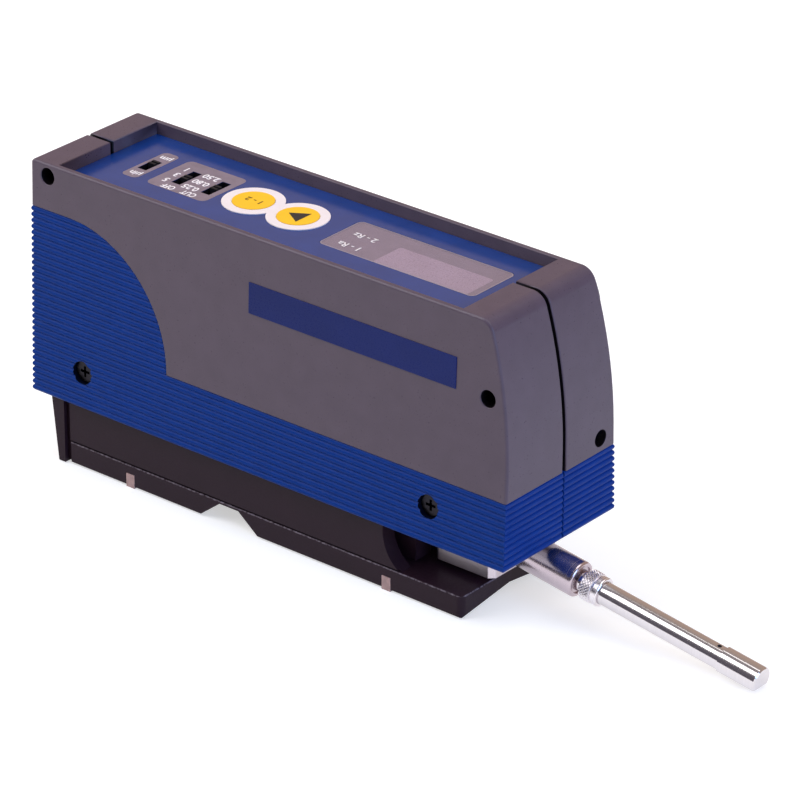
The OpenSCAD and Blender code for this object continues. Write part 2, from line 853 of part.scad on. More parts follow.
module main_board() {
    wide = cavity_half - 0.6;
    color("#2f6b45") difference() {
        box([rear_rim_l + 2, -wide, board_low], [panel_front - 0.6, wide, board_top]);
        for (p = board_posts) pin_z(p, board_screw_r + screw_fit, board_low - cut, board_top + cut);
    }
}

module processor_chip() {
    color("#202024") box([window_x + chip_offset, layout_y - chip_l / 2, board_low - chip_t],
        [window_x + chip_offset + chip_l, layout_y + chip_l / 2, board_low]);
}

module board_screws() {
    color("#a9abb0") for (p = board_posts)
        screw_z(p, board_screw_r, 2, board_low - 1.6, board_low, board_top + board_thread);
}

// A small push switch under a key
module push_switch(x) {
    box([x - 3, layout_y - 3, board_top], [x + 3, layout_y + 3, board_top + tact_h - 0.6]);
    pin_z([x, layout_y], 1.7, board_top + tact_h - 1, board_top + tact_h);
}

module select_switch() {
    color("#39393d") push_switch(key_xs[0]);
}

module start_switch() {
    color("#39393d") push_switch(key_xs[1]);
}

// A slide switch: its body on the board, with a channel for the knob's foot
module slide_switch(x, travel) {
    long = travel + knob_w + 2 * knob_gap;
    difference() {
        box([x - 2.8, layout_y - long / 2 - 1.6, board_top],
            [x + 2.8, layout_y + long / 2 + 1.6, board_top + switch_h]);
        box([x - knob_w / 2 - knob_gap, layout_y - long / 2, board_top + switch_h - 3.5],
            [x + knob_w / 2 + knob_gap, layout_y + long / 2, board_top + switch_h + cut]);
    }
}

module unit_switch() {
    color("#8b8d92") slide_switch(unit_x, unit_travel);
}

module range_switch() {
    color("#8b8d92") slide_switch(range_x, long_travel);
}

module cutoff_switch() {
    color("#8b8d92") slide_switch(cutoff_x, long_travel);
}

// A switch knob, with a gripping groove across its top
module knob(x, y) {
    z0 = board_top + switch_h - 3.3;
    z1 = panel_top + 0.3;
    difference() {
        box([x - knob_w / 2, y - knob_w / 2, z0], [x + knob_w / 2, y + knob_w / 2, z1]);
        box([x - knob_w, y - 0.3, z1 - 0.4], [x + knob_w, y + 0.3, z1 + cut]);
    }
}

module unit_knob() {
    color("#17171a") knob(unit_x, layout_y + unit_travel / 2);
}

module range_knob() {
    color("#17171a") knob(range_x, layout_y);
}

module cutoff_knob() {
    color("#17171a") knob(cutoff_x, layout_y);
}

// Battery on a folded tray, with the snap connector on its terminals
battery_x = grip_screw_x + post_r + 2;
tray_t = 1;
module battery_tray() {
    color("#9a9ca1") difference() {
        box([battery_x - tray_t, -battery_w / 2 - tray_t, chassis_top],
            [battery_x + battery_l, battery_w / 2 + tray_t, chassis_top + battery_h * 0.6]);
        box([battery_x, -battery_w / 2, chassis_top + tray_t],
            [battery_x + battery_l + cut, battery_w / 2, chassis_top + battery_h]);
    }
}

module battery() {
    z0 = chassis_top + tray_t;
    color("#30343c") union() {
        box([battery_x, -battery_w / 2, z0], [battery_x + battery_l, battery_w / 2, z0 + battery_h]);
        for (s = [-1, 1]) translate([battery_x + battery_l - cut, s * terminal_pitch / 2, z0 + battery_h / 2])
            rotate([0, 90, 0]) cylinder(r = terminal_r, h = cut + terminal_h);
    }
}

module battery_snap() {
    z0 = chassis_top + tray_t + battery_h / 2;
    x = battery_x + battery_l;
    color("#1f1f22") difference() {
        box([x, -battery_w / 2 + 1, z0 - snap_h / 2], [x + snap_t, battery_w / 2 - 1, z0 + snap_h / 2]);
        for (s = [-1, 1]) translate([x - cut, s * terminal_pitch / 2, z0]) rotate([0, 90, 0])
            cylinder(r = terminal_r + run_gap, h = cut + terminal_h + 0.1);
    }
}

// Adjuster behind the front hole: body on the side wall, slotted screw towards the hole
trimmer_front = body_l - wall_t - 1;
module trimmer_body() {
    color("#2d5fa8") difference() {
        box([trimmer_front - 9, adjuster_y - 2.4, adjuster_z - 2.4],
            [trimmer_front, cavity_half, adjuster_z + 2.4]);
        translate([trimmer_front - 2, adjuster_y, adjuster_z]) rotate([0, 90, 0])
            cylinder(r = 1.2 + run_gap, h = 2 + cut);
    }
}

module trimmer_screw() {
    color("#c8a45a") difference() {
        translate([trimmer_front - 1.9, adjuster_y, adjuster_z]) rotate([0, 90, 0])
            cylinder(r = 1.2, h = 3.2);
        translate([trimmer_front + 1.3, adjuster_y, adjuster_z]) cube([1.4, 3, 0.5], center = true);
    }
}

// Flanged bush in the chassis plate that the swivel spindle turns in
module swivel_bush() {
    color("#b08d4f") difference() {
        union() {
            pin_z([swivel_x, 0], bush_r, bush_low, chassis_top + flange_t / 2);
            pin_z([swivel_x, 0], flange_r, chassis_top, chassis_top + flange_t);
        }
        pin_z([swivel_x, 0], spindle_r + run_gap, base_h - 2 * cut, spindle_top);
    }
}

// Draw along the probe: the local X axis leaves the tilt pin and drops to the surface
module on_probe() {
    translate([pin_x, 0, pin_z]) rotate([0, probe_tilt, 0]) children();
}

// A round bar on the probe's axis, from s0 to s1
module bar(r, s0, s1) {
    translate([s0, 0, 0]) rotate([0, 90, 0]) cylinder(r = r, h = s1 - s0);
}

// Swivel head: chamfered block with a fork for the rod's tongue, and the spindle on top
module swivel_head() {
    front = swivel_x + head_front;
    rear = swivel_x - head_rear;
    c = head_chamfer;
    color("#b7b3b8") difference() {
        union() {
            translate([0, 0, head_bottom]) linear_extrude(head_top - head_bottom) polygon([
                [rear + c, -head_half], [front - c, -head_half], [front, -head_half + c],
                [front, head_half - c], [front - c, head_half], [rear + c, head_half],
                [rear, head_half - c], [rear, -head_half + c]]);
            pin_z([swivel_x, 0], spindle_r, head_top - cut, spindle_top);
        }
        difference() {
            pin_z([swivel_x, 0], spindle_r + cut, clip_z - 0.05, clip_z + clip_t + 0.05);
            pin_z([swivel_x, 0], neck_r, 0, spindle_top + cut);
        }
        on_probe() {
            box([-tongue_h - slot_gap, -tongue_half - slot_gap, -tongue_h - slot_gap],
                [head_front, tongue_half + slot_gap, 2 * tongue_h]);
        }
        pin_y([pin_x, pin_z], pin_r + screw_fit, -head_half - cut, head_half + cut);
    }
}

module spindle_clip() {
    color("#3a3a3e") difference() {
        pin_z([swivel_x, 0], spindle_r + 1.4, clip_z, clip_z + clip_t);
        pin_z([swivel_x, 0], neck_r + screw_fit, clip_z - cut, clip_z + 2 * cut);
    }
}

module tilt_pin() {
    color("#8f9196") pin_y([pin_x, pin_z], pin_r, -head_half + 0.2, head_half - 0.2);
}

// Drive rod: an eye and tongue in the fork, then a bored round rod with a rounded end rim
module drive_rod() {
    edge = 0.7;
    mid_r = (rod_r + bore_r) / 2;
    color("#cfcbd0") on_probe() difference() {
        union() {
            rotate([90, 0, 0]) cylinder(r = tongue_h, h = 2 * tongue_half, center = true);
            box([0, -tongue_half, -tongue_h], [rod_start + 0.5, tongue_half, tongue_h]);
            bar(rod_r, rod_start, rod_end - edge);
            bar(rod_r - edge, rod_end - edge - 0.5, rod_end);
            translate([rod_end - edge, 0, 0]) rotate([0, 90, 0]) rotate_extrude()
                translate([rod_r - edge, 0]) intersection() {
                    circle(r = edge);
                    square(edge);
                }
        }
        bar(bore_r, drive_start, rod_end + cut);
        rotate([90, 0, 0]) cylinder(r = pin_r + run_gap, h = 3 * tongue_half, center = true);
    }
}

// Sealed micro drive in the bottom of the rod's bore
module linear_drive() {
    color("#9b9da2") on_probe() bar(bore_r - screw_fit, drive_start, drive_end);
}

module rod_bush() {
    color("#b08d4f") on_probe() difference() {
        bar(bore_r - screw_fit, bush_start, bush_end);
        bar(plunger_r + run_gap, bush_start - cut, bush_end + cut);
    }
}

// Plunger: slides out of the rod and carries the probe
module plunger() {
    color("#c9c5ca") on_probe() bar(plunger_r, drive_end + 0.1, plunger_end);
}

// Coupling nut: runs on the plunger and holds the probe tube's collar
module coupling_nut() {
    rim = 0.35;
    color("#bdb8be") on_probe() difference() {
        union() {
            bar(nut_r - rim, nut_start, nut_end);
            bar(nut_r, nut_start + rim, nut_start + nut_l * 0.62);
            bar(nut_r - 0.2, nut_start + nut_l * 0.72, nut_end - rim);
        }
        bar(plunger_r + run_gap, nut_start - cut, plunger_end);
        bar(collar_r + run_gap, plunger_end - 0.1, plunger_end + collar_l + 0.1);
        bar(tube_r + run_gap, plunger_end, nut_end + cut);
    }
}

// Probe tube with its collar, and the small screw hole behind the tip
module probe_tube() {
    color("#d2cdd0") on_probe() difference() {
        union() {
            bar(tube_r, plunger_end, tip_start);
            bar(collar_r, plunger_end, plunger_end + collar_l);
        }
        bar(tube_bore, plunger_end + 0.8, tip_start + cut);
        tip_screw_hole(0.5 + screw_fit);
    }
}

module tip_screw_hole(r) {
    translate([tip_start - 1.6, 0, 0]) cylinder(r = r, h = tube_r + cut);
}

// Probe tip: round on top, flat below, with a spigot in the tube and a bore for the stylus beam
module probe_tip() {
    edge = tip_edge;
    color("#d6d1d4") on_probe() difference() {
        union() {
            intersection() {
                union() {
                    bar(tip_r, tip_start + 0.15, tip_end - edge);
                    translate([tip_end - edge, 0, 0]) rotate([0, 90, 0])
                        cylinder(r1 = tip_r, r2 = tip_r - edge, h = edge);
                    bar(tip_r - edge, tip_start, tip_end - edge);
                }
                box([tip_start - cut, -2 * tip_r, -tip_flat], [tip_end + cut, 2 * tip_r, 2 * tip_r]);
            }
            bar(tube_bore - screw_fit, tip_start - spigot_l, tip_start + cut);
        }
        bar(tip_bore, tip_start - spigot_l - cut, tip_end - 1.6);
        tip_screw_hole(0.5 + screw_fit);
        translate([stylus_s, 0, -2 * tip_r]) cylinder(r = 0.75, h = 2 * tip_r);
        translate([skid_s, 0, -2 * tip_r]) cylinder(r = 0.8 + screw_fit, h = 2 * tip_r - skid_seat);
    }
}

// Rounded skid set in the tip's flat
module skid() {
    color("#8c2f45") on_probe() translate([skid_s, 0, 0]) difference() {
        union() {
            translate([0, 0, -tip_flat - 0.1]) cylinder(r = 0.8, h = tip_flat - skid_seat + 0.1);
            translate([0, 0, -tip_flat - 0.1]) scale(0.8) sphere(r = 1);
        }
        translate([0, 0, -skid_seat]) cylinder(r = cut, h = cut);
    }
}

module tip_screw() {
    color("#1d1d20") on_probe() translate([tip_start - 1.6, 0, tip_bore + 0.1])
        cylinder(r = 0.5, h = tube_r - tip_bore - 0.3);
}

// Pickup coil fixed in the tube, round the rear end of the stylus beam
module pickup_coil() {
    color("#a8683c") on_probe() difference() {
        bar(tube_bore - screw_fit, coil_start, coil_start + coil_l);
        bar(beam_r + 0.4, coil_start - cut, coil_start + coil_l + cut);
    }
}

// Block in the tube that carries the stylus beam's pin
module hinge_block() {
    color("#9a9ca1") on_probe() difference() {
        bar(tube_bore - screw_fit, pivot_s - 1.5, pivot_s + 1.5);
        bar(1.3, pivot_s - 2, pivot_s + 2);
        translate([pivot_s, 0, 0]) rotate([90, 0, 0]) cylinder(r = 0.3 + screw_fit, h = 9, center = true);
    }
}

module stylus_pin() {
    color("#6d6f74") on_probe() translate([pivot_s, 0, 0]) rotate([90, 0, 0])
        cylinder(r = 0.3, h = 2 * (tube_bore - 0.4), center = true);
}

// Stylus beam: rocks on the pin, its rear end in the coil and its front end over the tip's hole
module stylus_beam() {
    color("#b9bcc0") on_probe() difference() {
        union() {
            bar(beam_r, coil_start + 0.5, stylus_s + 0.5);
            translate([pivot_s, 0, 0]) rotate([90, 0, 0]) cylinder(r = 0.8, h = 1.2, center = true);
        }
        translate([pivot_s, 0, 0]) rotate([90, 0, 0])
            cylinder(r = 0.3 + run_gap, h = 2 * tube_bore, center = true);
        translate([stylus_s, 0, -cut]) cylinder(r = 0.3 + screw_fit, h = cut);
    }
}

// Stylus: a pin with a cone point, through the hole in the tip's flat
module stylus_tip() {
    low = -tip_flat - 0.1;
    color("#e8e8ee") on_probe() translate([stylus_s, 0, 0]) {
        translate([0, 0, low]) cylinder(r = 0.3, h = -low);
        translate([0, 0, low - 0.5]) cylinder(r1 = 0.02, r2 = 0.3, h = 0.5);
    }
}

centred() left_cover();
centred() right_cover();
centred() left_grip();
centred() right_grip();
centred() cover_screws();
centred() housing_screws();
centred() chassis_plate();
centred() chassis_screws();
centred() base_frame();
centred() foot_plate();
centred() foot_screws();
centred() rear_plate();
centred() end_screws();
centred() foot_pads();
centred() lead_cover();
centred() top_panel();
centred() key_surround();
centred() select_key();
centred() start_key();
centred() display_window();
centred() lcd_module();
centred() main_board();
centred() processor_chip();
centred() board_screws();
centred() select_switch();
centred() start_switch();
centred() unit_switch();
centred() range_switch();
centred() cutoff_switch();
centred() unit_knob();
centred() range_knob();
centred() cutoff_knob();
centred() battery_tray();
centred() battery();
centred() battery_snap();
centred() trimmer_body();
centred() trimmer_screw();
centred() swivel_bush();
centred() swivel_head();
centred() spindle_clip();
centred() tilt_pin();
centred() drive_rod();
centred() linear_drive();
centred() rod_bush();
centred() plunger();
centred() coupling_nut();
centred() probe_tube();
centred() probe_tip();
centred() skid();
centred() tip_screw();
centred() pickup_coil();
centred() hinge_block();
centred() stylus_pin();
centred() stylus_beam();
centred() stylus_tip();
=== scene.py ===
"""Dresses the roughness tester's solids for a studio picture, from the base up to the probe."""
import math

import bmesh
import bpy
import numpy as np
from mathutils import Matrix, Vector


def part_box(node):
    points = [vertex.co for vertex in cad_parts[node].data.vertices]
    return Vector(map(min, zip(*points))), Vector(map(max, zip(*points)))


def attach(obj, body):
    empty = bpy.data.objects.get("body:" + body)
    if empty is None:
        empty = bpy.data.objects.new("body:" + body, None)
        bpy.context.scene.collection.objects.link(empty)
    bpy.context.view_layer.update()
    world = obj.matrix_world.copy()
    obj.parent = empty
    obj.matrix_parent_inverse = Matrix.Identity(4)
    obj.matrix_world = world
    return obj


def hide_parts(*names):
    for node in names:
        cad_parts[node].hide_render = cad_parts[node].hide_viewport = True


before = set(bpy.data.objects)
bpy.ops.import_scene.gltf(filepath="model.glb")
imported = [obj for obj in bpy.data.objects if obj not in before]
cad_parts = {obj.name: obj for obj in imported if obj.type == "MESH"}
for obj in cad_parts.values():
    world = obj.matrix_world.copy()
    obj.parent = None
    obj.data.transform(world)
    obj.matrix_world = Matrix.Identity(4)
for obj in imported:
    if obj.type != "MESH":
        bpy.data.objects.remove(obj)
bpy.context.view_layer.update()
bpy.context.scene.view_settings.view_transform = "Standard"

# Guard base: a frame, a foot plate with a shallow V below, a rear plate and a lead cover, moulded
# in black filled nylon and screwed together. The mould's spark-eroded skin leaves a fine matt
# grain, and a painted highlight runs in pale specks along the foot plate's edges.


def linear(colour, shade=1.0):
    """sRGB hex to linear red, green, blue and alpha: below 0.04045 a straight line, above it
    a power of 2.4. The shade multiplies the linear colour."""
    parts = np.array([int(colour[i:i + 2], 16) for i in (1, 3, 5)]) / 255
    light = np.where(parts <= 0.04045, parts / 12.92, ((parts + 0.055) / 1.055) ** 2.4)
    return (*np.clip(light * shade, 0, 1), 1.0)


def add(tree, kind, inputs=None, **settings):
    """Add one node: settings are its own switches, inputs are plain values or links."""
    made = tree.nodes.new("ShaderNode" + kind)
    for key, value in settings.items():
        setattr(made, key, value)
    for key, value in (inputs or {}).items():
        if isinstance(value, bpy.types.NodeSocket):
            tree.links.new(value, made.inputs[key])
        else:
            made.inputs[key].default_value = value
    return made


def new_material(name, **sockets):
    """A material with one principled shader, its sockets set by name."""
    material = bpy.data.materials.new(name)
    material.use_nodes = True
    shader = material.node_tree.nodes["Principled BSDF"]
    for key, value in sockets.items():
        shader.inputs[key.replace("_", " ")].default_value = value
    return material, material.node_tree, shader


def shade_between(tree, factor, low, high, span=(0.0, 1.0)):
    """A colour that runs evenly from low to high while the factor crosses the span."""
    ramp = add(tree, "ValToRGB", {"Fac": factor})
    for element, position, colour in zip(ramp.color_ramp.elements, span, (low, high)):
        element.position, element.color = position, colour
    return ramp.outputs["Color"]


noise_span = (0.3, 0.7)
gloss_swing = 0.06


def vary(tree, noise, low, high):
    """A value that runs evenly from low to high over the span in which noise mostly lies."""
    return add(tree, "MapRange", {"Value": noise, "From Min": noise_span[0], "From Max": noise_span[1],
                                  "To Min": low, "To Max": high}).outputs["Result"]


def finish_shader(tree, shader, colour, gloss, height, height_um):
    """Link colour and gloss to the shader, with a bump that is height_um high at full height."""
    bump = add(tree, "Bump", {"Height": height, "Strength": 1.0, "Distance": height_um * 1e-6})
    tree.links.new(colour, shader.inputs["Base Color"])
    tree.links.new(gloss, shader.inputs["Roughness"])
    tree.links.new(bump.outputs["Normal"], shader.inputs["Normal"])


def moulded_plastic(name, colour, roughness, grain_mm=0.45, grain_um=9, cloud_mm=7, cloud=0.07, **sockets):
    """Moulded plastic: pigment that clouds a little over some millimetres, and the mould's fine
    grain, which bumps the surface and breaks the gloss. Grain is drawn coarse enough to show."""
    sockets = {"IOR": 1.5, "Specular_IOR_Level": 0.14, **sockets}
    material, tree, shader = new_material(name, **sockets)
    place = add(tree, "TexCoord").outputs["Object"]
    clouds = add(tree, "TexNoise", {"Vector": place, "Scale": 1000 / cloud_mm, "Detail": 4.0})
    pigment = shade_between(tree, clouds.outputs["Fac"], linear(colour, 1 - cloud), linear(colour, 1 + cloud),
                            noise_span)
    grain = add(tree, "TexNoise", {"Vector": place, "Scale": 1000 / grain_mm, "Detail": 2.0}).outputs["Fac"]
    gloss = vary(tree, grain, roughness - gloss_swing, roughness + gloss_swing)
    finish_shader(tree, shader, pigment, gloss, grain, grain_um)
    return material


def dress(material, *nodes):
    """Give CAD nodes a material in every slot."""
    for name in nodes:
        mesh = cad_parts[name].data
        mesh.materials.clear()
        mesh.materials.append(material)


weld_gap, flat_angle, corner_angle, roll_steps = 2e-6, math.radians(0.4), math.radians(30), 3


def rounded_copy(name, source, radius_mm, outside=lambda middle: 1.0):
    """A solid's own skin with rolled edges: doubles merged and flat triangles joined to whole faces.
    Each outer corner over 30 degrees is rounded to the radius times what outside gives for the
    edge's middle point in metres, and an edge that gets none stays sharp."""
    skin = bmesh.new()
    skin.from_mesh(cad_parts[source].data)
    bmesh.ops.remove_doubles(skin, verts=skin.verts, dist=weld_gap)
    bmesh.ops.dissolve_limit(skin, angle_limit=flat_angle, verts=skin.verts, edges=skin.edges)
    share = skin.edges.layers.float.new("bevel_weight_edge")
    for edge in skin.edges:
        if edge.calc_face_angle(0) > corner_angle:
            middle = (edge.verts[0].co + edge.verts[1].co) / 2
            edge[share] = outside(middle) if edge.is_convex else 0.0
            edge.smooth = edge[share] > 0
    mesh = bpy.data.meshes.new(name)
    skin.to_mesh(mesh)
    skin.free()
    mesh.polygons.foreach_set("use_smooth", np.ones(len(mesh.polygons), bool))
    piece = bpy.data.objects.new(name, mesh)
    bpy.context.scene.collection.objects.link(piece)
    edges = piece.modifiers.new("rolled_edges", "BEVEL")
    edges.width = radius_mm / 1000
    edges.segments = roll_steps
    edges.limit_method = "WEIGHT"
    edges.use_clamp_overlap = False
    normals = piece.modifiers.new("flat_faces", "WEIGHTED_NORMAL")
    normals.weight = 100
    normals.keep_sharp = True
    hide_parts(source)
    return piece


def settle(piece, material, body):
    """Give a new piece its material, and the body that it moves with."""
    piece.data.materials.clear()
    piece.data.materials.append(material)
    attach(piece, body)
    return piece


mm = 0.001
touch_mm = 0.05
foot_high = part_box("foot_plate")[1]
foot_roll_mm, foot_small_share = 1.6, 0.16


def foot_edge(middle):
    """Share of the edge radius: whole on the two upright front corners, a sixth on the outside's
    other edges, none inside."""
    on_side = abs(middle.y) > foot_high[1] - touch_mm * mm
    on_front = middle.x > foot_high[0] - touch_mm * mm
    if on_side and on_front:
        return 1.0
    return foot_small_share if on_side or on_front else 0.0


speck_mm, mark_starts, mark_full = 0.8, 0.2, 0.6


def paint_over(tree, shader, share, colour):
    """Mix a colour over what the shader's colour has been so far, by the share."""
    below = shader.inputs["Base Color"].links[0].from_socket
    mix = add(tree, "Mix", {0: share, 6: below, 7: linear(colour)}, data_type="RGBA")
    tree.links.new(mix.outputs[2], shader.inputs["Base Color"])


def paint_edge_glint(material, pale, width_mm):
    """Painted highlight on edges: nearness to the foot plate's side, front and top planes rises from 0 to 1
    over the width, and the product of two planes' nearness marks the edge between them, where the pale
    colour is painted as a glint. Fine noise breaks the mark into specks."""
    tree = material.node_tree
    shader = tree.nodes["Principled BSDF"]
    place = add(tree, "TexCoord").outputs["Object"]
    x, y, z = add(tree, "SeparateXYZ", {"Vector": place}).outputs
    across = add(tree, "Math", {0: y}, operation="ABSOLUTE").outputs[0]
    front, side, top = (
        add(tree, "MapRange", {"Value": value, "From Min": plane - width_mm * mm,
                               "From Max": plane}).outputs["Result"]
        for value, plane in zip((x, across, z), foot_high))
    glint = 0.0
    for a, b in ((side, top), (front, top), (front, side)):
        edge = add(tree, "Math", {0: a, 1: b}, operation="MULTIPLY").outputs[0]
        glint = add(tree, "Math", {0: edge, 1: glint}, operation="MAXIMUM").outputs[0]
    specks = add(tree, "TexNoise", {"Vector": place, "Scale": 1000 / speck_mm, "Detail": 3.0}).outputs["Fac"]
    glint = add(tree, "Math", {0: glint, 1: specks}, operation="MULTIPLY").outputs[0]
    glint = add(tree, "MapRange", {"Value": glint, "From Min": mark_starts,
                                    "From Max": mark_full}).outputs["Result"]
    paint_over(tree, shader, glint, pale)


nylon, nylon_gloss, nylon_grain = "#2a1923", 0.45, {"grain_mm": 0.5, "grain_um": 10}
dress(moulded_plastic("moulded_black_nylon", nylon, nylon_gloss, **nylon_grain), "base_frame", "rear_plate",
      "lead_cover")
# The foot plate's material carries a painted highlight: pale specks painted along its outer edges.
glint_nylon = moulded_plastic("black_nylon_painted_glint", nylon, nylon_gloss, **nylon_grain)
paint_edge_glint(glint_nylon, "#a3959e", 0.5)
foot_skin = rounded_copy("foot_plate_skin", "foot_plate", foot_roll_mm, foot_edge)
settle(foot_skin, glint_nylon, "frame")

# Wear pads: four pale slips of hard acetal, pressed into seats at the foot plate's lower edges.
# They are sawn from strip, so they stay a little rough.
dress(moulded_plastic("sawn_acetal", "#c4a39d", 0.55, grain_mm=0.7, grain_um=25, cloud_mm=1.2, cloud=0.16),
      "foot_pads")

# Chassis plate, battery tray and spindle bush: sheet aluminium milled to outline, and a turned
# bronze bush. All of them are inside, and carry the base, the battery and the swivel.


line_length_mm, gloss_share = 40, 0.25


def tooled_metal(name, colour, roughness, line_mm, line_um, along=(1, 0, 0), turn=(0, 0, 0)):
    """Metal with tool lines: noise that changes every line_mm along the given axes and hardly at
    all along the others, which bumps the surface and varies the gloss. Turn is in degrees."""
    material, tree, shader = new_material(name, Metallic=1.0)
    place = add(tree, "TexCoord").outputs["Object"]
    fine, slow = 1000 / line_mm, 1000 / line_length_mm
    scale = tuple(fine if crossed else slow for crossed in along)
    lines = add(tree, "Mapping", {"Vector": place, "Rotation": tuple(np.radians(turn))})
    lines = add(tree, "Mapping", {"Vector": lines.outputs["Vector"], "Scale": scale})
    lines = lines.outputs["Vector"]
    noise = add(tree, "TexNoise", {"Vector": lines, "Scale": 1.0, "Detail": 3.0}).outputs["Fac"]
    tint = shade_between(tree, noise, linear(colour, 0.9), linear(colour, 1.08))
    gloss = vary(tree, noise, roughness * (1 - gloss_share), roughness * (1 + gloss_share))
    finish_shader(tree, shader, tint, gloss, noise, line_um)
    return material


dress(tooled_metal("milled_aluminium", "#c4c6ca", 0.3, 0.6, 2, along=(0, 1, 0)),
      "chassis_plate", "battery_tray")
dress(tooled_metal("turned_bronze", "#b08d4f", 0.28, 0.3, 1, along=(0, 0, 1)),
      "swivel_bush", "trimmer_screw")
zinc_steel = tooled_metal("zinc_plated_steel", "#b4b6bb", 0.32, 0.4, 1, along=(0, 0, 1))
dress(zinc_steel, "chassis_screws", "board_screws", "tilt_pin", "linear_drive", "hinge_block",
      "stylus_pin", "stylus_beam")

# Battery, its snap, the circuit board and what is soldered to it: stock parts that only show when
# the housing is opened. The board has green resist over woven glass, the rest are mouldings.
dress(moulded_plastic("battery_wrap_film", "#30343c", 0.3, grain_mm=1.5, grain_um=6), "battery")
black_moulding = moulded_plastic("moulded_black_plastic", "#1a1a1f", 0.38, grain_mm=0.3, grain_um=4)
dress(black_moulding, "battery_snap", "processor_chip", "select_switch", "start_switch", "unit_switch",
      "range_switch", "cutoff_switch", "lcd_module")
dress(moulded_plastic("green_solder_resist", "#2f6b45", 0.3, grain_mm=0.4, grain_um=8, cloud_mm=2),
      "main_board")
dress(moulded_plastic("moulded_blue_adjuster", "#2d5fa8", 0.3, grain_mm=0.3, grain_um=3), "trimmer_body")

# Ribbed grips: two halves moulded in deep blue plastic, with three-sided ribs all round the lower
# band and up the rear. The ribs' crests are slightly rounded by the mould, and shine a little.


def paint_hollow_shade(material, shade, wells, groove=None):
    """Painted shade in hollows: the colour turns to the dark shade colour within every well, given as its
    axis, centre and radius in millimetres, and within a groove, given as its middle and half width
    across. It stands for the shadow inside screw holes and the seam groove."""
    tree = material.node_tree
    shader = tree.nodes["Principled BSDF"]
    place = add(tree, "TexCoord").outputs["Object"]
    painted_shade = 0.0
    for axis, centre, radius in wells:
        flat = tuple(float(i != axis) for i in range(3))
        spot = add(tree, "VectorMath", {0: place, 1: flat}, operation="MULTIPLY").outputs["Vector"]
        middle = tuple(np.array(centre) * flat * mm)
        gap = add(tree, "VectorMath", {0: spot, 1: middle}, operation="DISTANCE").outputs["Value"]
        within = add(tree, "Math", {0: gap, 1: radius * mm}, operation="LESS_THAN").outputs[0]
        painted_shade = add(tree, "Math", {0: within, 1: painted_shade}, operation="MAXIMUM").outputs[0]
    if groove:
        across = add(tree, "SeparateXYZ", {"Vector": place}).outputs["Y"]
        within = add(tree, "Math", {0: across, 1: groove[0] * mm, 2: groove[1] * mm},
                     operation="COMPARE").outputs[0]
        painted_shade = add(tree, "Math", {0: within, 1: painted_shade}, operation="MAXIMUM").outputs[0]
    paint_over(tree, shader, painted_shade, shade)


rear_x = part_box("left_cover")[0][0]
rear = rear_x / mm
along_x, along_y = 0, 1
seat_xs, seat_z, seat_radius = (15.7, 118.5), 26.5, 2.85
screw_seats = [(along_y, (rear + x, 0, seat_z), seat_radius) for x in seat_xs]
for side, wells in (("left", screw_seats), ("right", [])):
    grip_blue = moulded_plastic("moulded_blue_grip_" + side, "#003484", 0.4, grain_mm=0.6, grain_um=5,
                                cloud_mm=5, cloud=0.06, Specular_IOR_Level=0.09)
    # Painted shade: the left grip's screw seats are painted near black inside, for the shadow in the
    # counterbores.
    paint_hollow_shade(grip_blue, "#050a1c", wells)
    dress(grip_blue, side + "_grip")

# Grey covers: two halves moulded in warm dark grey ABS over the grips, parted by a groove at the
# seam. The skin has a fine sand grain, and every outer edge is rolled over a small radius.

half_width, side_lean, body_low, body_high = 19.8, 1.9, 17.5, 75.5
rear_roll, front_roll, bow_radius, bow_rear, bow_low, front_end = 1.0, 4.0, 110.0, 30.0, 39.5, 140.0
roll_low = body_high - front_roll
adjuster, adjuster_hole, hole_rim = (0, 14.0, 37.3), 2.0, 0.03
bore_places, bore_radius = ((5.2, 72.4), (134, 57.3)), 2.03
seam_middle, seam_half = 1.1, 0.56
cover_roll_mm, cover_share, hole_share = 0.68, 0.44, 0.2
roll_rear = bow_rear + math.sqrt((bow_radius - front_roll) ** 2 - (roll_low - bow_low) ** 2)


def side_y(z):
    """Half the housing's width at a height: it falls evenly by the lean from bottom to top."""
    return half_width - side_lean * (z - body_low) / (body_high - body_low)


def outline_gap(x, z):
    """How far a point lies from the housing's outline seen from the side: straight rear and top, a
    front that bows over a circle above its plain part, and a quarter circle at each top corner."""
    if x < rear_roll and z > body_high - rear_roll:
        return abs(math.hypot(x - rear_roll, z - body_high + rear_roll) - rear_roll)
    if x > roll_rear and z > roll_low:
        return abs(math.hypot(x - roll_rear, z - roll_low) - front_roll)
    bow = bow_radius - math.sqrt(bow_radius ** 2 - max(z - bow_low, 0) ** 2)
    return min(abs(x), abs(front_end - bow - x), abs(body_high - z))


def cover_edge(middle):
    """Share of the edge radius: the whole where a side meets the outline, less than half on the
    outside's other edges, a fifth round the adjuster's small hole, none inside."""
    x, y, z = (middle.x - rear_x) / mm, middle.y / mm, middle.z / mm
    on_side = abs(abs(y) - side_y(z)) < touch_mm
    on_outline = outline_gap(x, z) < touch_mm
    if on_side and on_outline:
        return 1.0
    if math.hypot(y - adjuster[1], z - adjuster[2]) < adjuster_hole + touch_mm:
        return hole_share if on_outline else 0.0
    return cover_share if on_side or on_outline else 0.0


bores = [(along_y, (rear + x, 0, z), bore_radius) for x, z in bore_places]
for side, wells in (("left", bores), ("right", [(along_x, adjuster, adjuster_hole + hole_rim)])):
    cover_grey = moulded_plastic("moulded_grey_cover_" + side, "#594b58", 0.33, grain_mm=0.5, grain_um=8,
                                 cloud_mm=4, cloud=0.06, Specular_IOR_Level=0.32)
    # Painted shade: the screw bores, the adjuster's hole and the seam groove are painted near black, for the
    # shadow in them.
    paint_hollow_shade(cover_grey, "#120e12", wells, groove=(seam_middle, seam_half))
    cover = rounded_copy(side + "_cover_skin", side + "_cover", cover_roll_mm, cover_edge)
    settle(cover, cover_grey, "frame")

